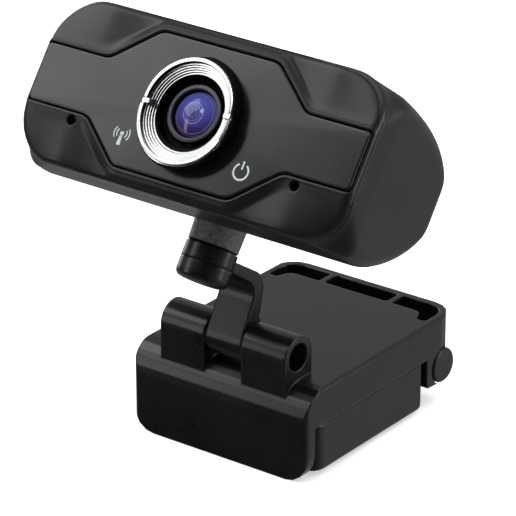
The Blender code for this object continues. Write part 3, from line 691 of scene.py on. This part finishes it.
def chrome_profile(angle):
    """Stepped chrome face: bright rim outside, then a fine staircase down to the well."""
    high = NOTCH_HIGH if in_notch(angle, 0.09) else RIM_HIGH
    shelf, rim = SHELF_EDGE, RIM_EDGE
    rise = (high - 0.35 - TERRACE_LOW) / TERRACES
    run = (shelf - WELL_EDGE) / TERRACES
    points = [(WELL_EDGE, TERRACE_LOW - 0.6)]
    for step in range(TERRACES):
        start = WELL_EDGE + run * step
        level = TERRACE_LOW + rise * step
        points += [(start, level), (start + run, level)]
    points += [(shelf, high - 0.12), (shelf + 0.10, high - 0.02)]
    points += [(rim - 0.22, high), (rim - 0.04, high - 0.10), (rim, high - 0.35)]
    points += [(rim, 3.1), (WELL_EDGE + 0.2, TERRACE_LOW - 0.6)]
    return [(spread(radius, angle), ahead) for radius, ahead in points]


def focus_profile(angle):
    """Black ring: its wall flares to a foot, and inside is the well round the barrel."""
    rim = spread(RIM_EDGE, angle) - (0.35 if in_notch(angle, 0.12) else 0)
    side = abs(math.sin(angle))
    foot = (12.9 - 1.6 * side) if lower_half(angle) else (12.4 - 1.1 * side)
    foot -= 0.3 if in_notch(angle, 0.12) else 0
    well = [(6.75, -1.1), (7.0, -1.3), (7.9, -1.1), (8.02, 1.2), (8.04, 1.45)]
    crest = [(rim - 0.3, 3.05), (rim + 0.1, 3.45), (rim + 0.25, 3.3), (rim + 0.35, 2.6)]
    base = [(foot - 0.1, 1.2), (foot, 0.6), (foot - 0.1, 0.05)]
    spigot = [(8.8, 0.05), (8.8, -1.6), (6.75, -1.6)]
    return well + crest + base + spigot


def barrel_profile(_angle):
    """The barrel: a rounded grey flange in front and the plain tube behind it."""
    flange = [(5.25, 0.05), (5.3, 0.28), (5.45, 0.42), (6.15, 0.46), (6.32, 0.38), (6.4, 0.2), (6.4, -0.8)]
    return flange + [(5.9, -0.8), (5.9, -12), (4.4, -12), (4.4, -2.4), (5.25, -2.4)]


def paint_riser_shade(ring):
    """Paints the walls between the chrome steps matt black, as painted shade, so that they read as dark
    lines.
    """
    ring.data.materials.append(MATERIALS["matt_black"])
    # face k of each step round the ring joins profile points k - 1 and k, so the walls are the odd ones
    per_turn = len(chrome_profile(0))
    for face in ring.data.polygons:
        segment = face.index % per_turn
        if segment <= 2 * TERRACES + 1 and segment % 2 == 1:
            face.material_index = 1


def notch_blocks():
    """A small bright block across each of the ring's two notches."""
    for side, name in ((90, "block_right"), (-90, "block_left")):
        place = HEAD @ Matrix.Rotation(RING_TURN + math.radians(side), 4, "Y")
        corners = [(-0.55, 9.1), (0.55, 9.1), (0.55, 10.9), (-0.55, 10.9)]
        outline = rounded([(across, out, 0.2) for across, out in corners], 4)
        rings = []
        for shrink, ahead in ((1.0, 2.6), (1.0, 3.85), (0.96, 3.95), (0.9, 4.0)):
            ring = [Vector((p[0] * shrink, -ahead, 10 + (p[1] - 10) * shrink)) * MM for p in outline]
            rings.append(ring)
        loft(name, rings, place, "chrome", "focus")


def lens():
    """The ring, the barrel and the front glass, which turn together."""
    ring = turned("chrome_terraces", chrome_profile, "chrome", RING_STEPS)
    paint_riser_shade(ring)
    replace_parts(ring, "chrome_ring")
    ring = turned("focus_skin", focus_profile, "satin_black", RING_STEPS)
    dress(ring, "matt_black")
    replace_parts(ring, "focus_ring")
    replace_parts(turned("barrel_skin", barrel_profile, "lens_grey", 96), "lens_barrel")
    glass = dome("front_glass", GLASS_RADIUS, GLASS_BASE, GLASS_DOME, "lens_glass")
    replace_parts(glass, "front_lens")


def dome(name, radius, base, height, slot, steps=96, rows=24):
    """A lens with a domed front; each point carries its distance from the axis."""
    curve = (radius * radius + height * height) / (2 * height)
    shape = bmesh.new()
    far = shape.verts.layers.float.new("from_axis")
    rings = []
    for row in range(1, rows + 1):
        r = radius * row / rows
        ahead = base + math.sqrt(curve * curve - r * r) - (curve - height)
        ring = []
        for step in range(steps):
            angle = 2 * math.pi * step / steps
            vert = shape.verts.new(Vector((r * math.sin(angle), -ahead, r * math.cos(angle))) * MM)
            vert[far] = r
            ring.append(vert)
        rings.append(ring)
    rings.append([shape.verts.new(vert.co + Vector((0, GLASS_EDGE * MM, 0))) for vert in rings[-1]])
    for vert in rings[-1]:
        vert[far] = radius
    centre = shape.verts.new(Vector((0, -(base + height), 0)) * MM)
    for index in range(steps):
        shape.faces.new((rings[0][index - 1], rings[0][index], centre))
    for ring, following in zip(rings, rings[1:]):
        for index in range(steps):
            shape.faces.new((ring[index - 1], ring[index], following[index], following[index - 1]))
    shape.faces.new(rings[-1])
    bmesh.ops.recalc_face_normals(shape, faces=shape.faces)
    return place_mesh(name, shape, HEAD, slot, "focus", 60)


rear_housing()
bore_mics(front_bezel())
face_plate()
symbols()
lens()
notch_blocks()


# ---------------------------------------------------------------- floor, light and camera

def make_floor():
    """A plain pale floor, wide enough to fill every view."""
    graph = Graph("floor_paper")
    where = graph.place()
    tooth = graph.noise(where, 400, 4)
    colour = graph.blend(graph.noise(where, 2, 2), (0.93, 0.93, 0.93), (0.95, 0.95, 0.95))
    graph.surface({"Base Color": colour, "Roughness": 0.9, "Specular IOR Level": 0.1,
                   "Normal": graph.bump(tooth, 0.05, 0.05 * MM)})
    reach = 6.0
    mesh = bpy.data.meshes.new("floor")
    corners = [(-reach, -reach, 0), (reach, -reach, 0), (reach, reach, 0), (-reach, reach, 0)]
    mesh.from_pydata(corners, [], [(0, 1, 2, 3)])
    mesh.materials.append(graph.material)
    floor = bpy.data.objects.new("floor", mesh)
    bpy.context.scene.collection.objects.link(floor)
    floor.visible_glossy = False


def aim(thing, place, target):
    """Puts a light or camera at a place, looking at a target."""
    direction = Vector(target) - Vector(place)
    thing.matrix_world = Matrix.Translation(place) @ direction.to_track_quat("-Z", "Y").to_matrix().to_4x4()


def softbox(name, turn, rise, distance, width, height, brightness, target=(0, 0, 0.06)):
    """An area light at an azimuth and elevation round the object; brightness is its radiance."""
    light = bpy.data.lights.new(name, "AREA")
    light.shape = "RECTANGLE"
    light.size = width
    light.size_y = height
    light.energy = brightness * width * height * math.pi
    thing = bpy.data.objects.new(name, light)
    bpy.context.scene.collection.objects.link(thing)
    turn, rise = math.radians(turn), math.radians(rise)
    away = Vector((math.sin(turn) * math.cos(rise), -math.cos(turn) * math.cos(rise), math.sin(rise)))
    aim(thing, Vector(target) + distance * away, target)
    return thing


def light_floor():
    """Lifts the paper floor alone, without shadows, so that only a faint contact shadow is left."""
    lamp = softbox("floor_wash", 0, 90, 2.0, 4.0, 4.0, 1.9)
    lamp.data.use_shadow = False
    only = bpy.data.collections.new("paper_only")
    only.objects.link(bpy.data.objects["floor"])
    lamp.light_linking.receiver_collection = only


def make_world():
    """A dim studio: dark ahead of the object and grey behind it."""
    world = bpy.data.worlds.new("studio")
    world.use_nodes = True
    bpy.context.scene.world = world
    tree = world.node_tree
    tree.nodes.clear()
    coordinates = tree.nodes.new("ShaderNodeTexCoord")
    split = tree.nodes.new("ShaderNodeSeparateXYZ")
    strength = tree.nodes.new("ShaderNodeMapRange")
    background = tree.nodes.new("ShaderNodeBackground")
    output = tree.nodes.new("ShaderNodeOutputWorld")
    for key, value in {"From Min": -0.6, "From Max": 0.7, "To Min": 0.02, "To Max": 0.55}.items():
        strength.inputs[key].default_value = value
    tree.links.new(coordinates.outputs["Generated"], split.inputs[0])
    tree.links.new(split.outputs["Y"], strength.inputs["Value"])
    tree.links.new(strength.outputs[0], background.inputs["Strength"])
    tree.links.new(background.outputs[0], output.inputs["Surface"])


def make_camera():
    """A long lens at the photo's angle."""
    data = bpy.data.cameras.new("camera")
    data.lens = CAMERA_LENS
    data.sensor_width = FILM_WIDTH
    data.clip_start = 0.01
    camera = bpy.data.objects.new("camera", data)
    bpy.context.scene.collection.objects.link(camera)
    back = Vector((
        math.sin(CAMERA_TURN) * math.cos(CAMERA_RISE),
        -math.cos(CAMERA_TURN) * math.cos(CAMERA_RISE),
        math.sin(CAMERA_RISE),
    ))
    right = Vector((math.cos(CAMERA_TURN), math.sin(CAMERA_TURN), 0))
    up = back.cross(right)
    across = right * math.cos(CAMERA_ROLL) + up * math.sin(CAMERA_ROLL)
    upward = up * math.cos(CAMERA_ROLL) - right * math.sin(CAMERA_ROLL)
    facing = Matrix((across, upward, back)).transposed().to_4x4()
    camera.matrix_world = Matrix.Translation(CAMERA_POINT) @ facing
    bpy.context.scene.camera = camera


make_floor()
make_world()
softbox("key_left", -63, 45, 1.0, 0.75, 0.7, 3.0)
softbox("catch_light", -8, 56, 0.9, 0.16, 0.16, 9)
softbox("left_low", -112, 6, 0.8, 0.5, 0.5, 2.2)
softbox("right_low", 118, 5, 0.8, 0.30, 0.5, 3.5)
softbox("front_low", -39, 5, 0.8, 0.16, 0.4, 3.5)
softbox("overhead", 165, 70, 1.3, 1.3, 0.9, 1.5)
softbox("side_right", 110, 28, 1.1, 0.7, 0.6, 0.35)
light_floor()
make_camera()
bpy.context.scene.view_settings.view_transform = "Standard"
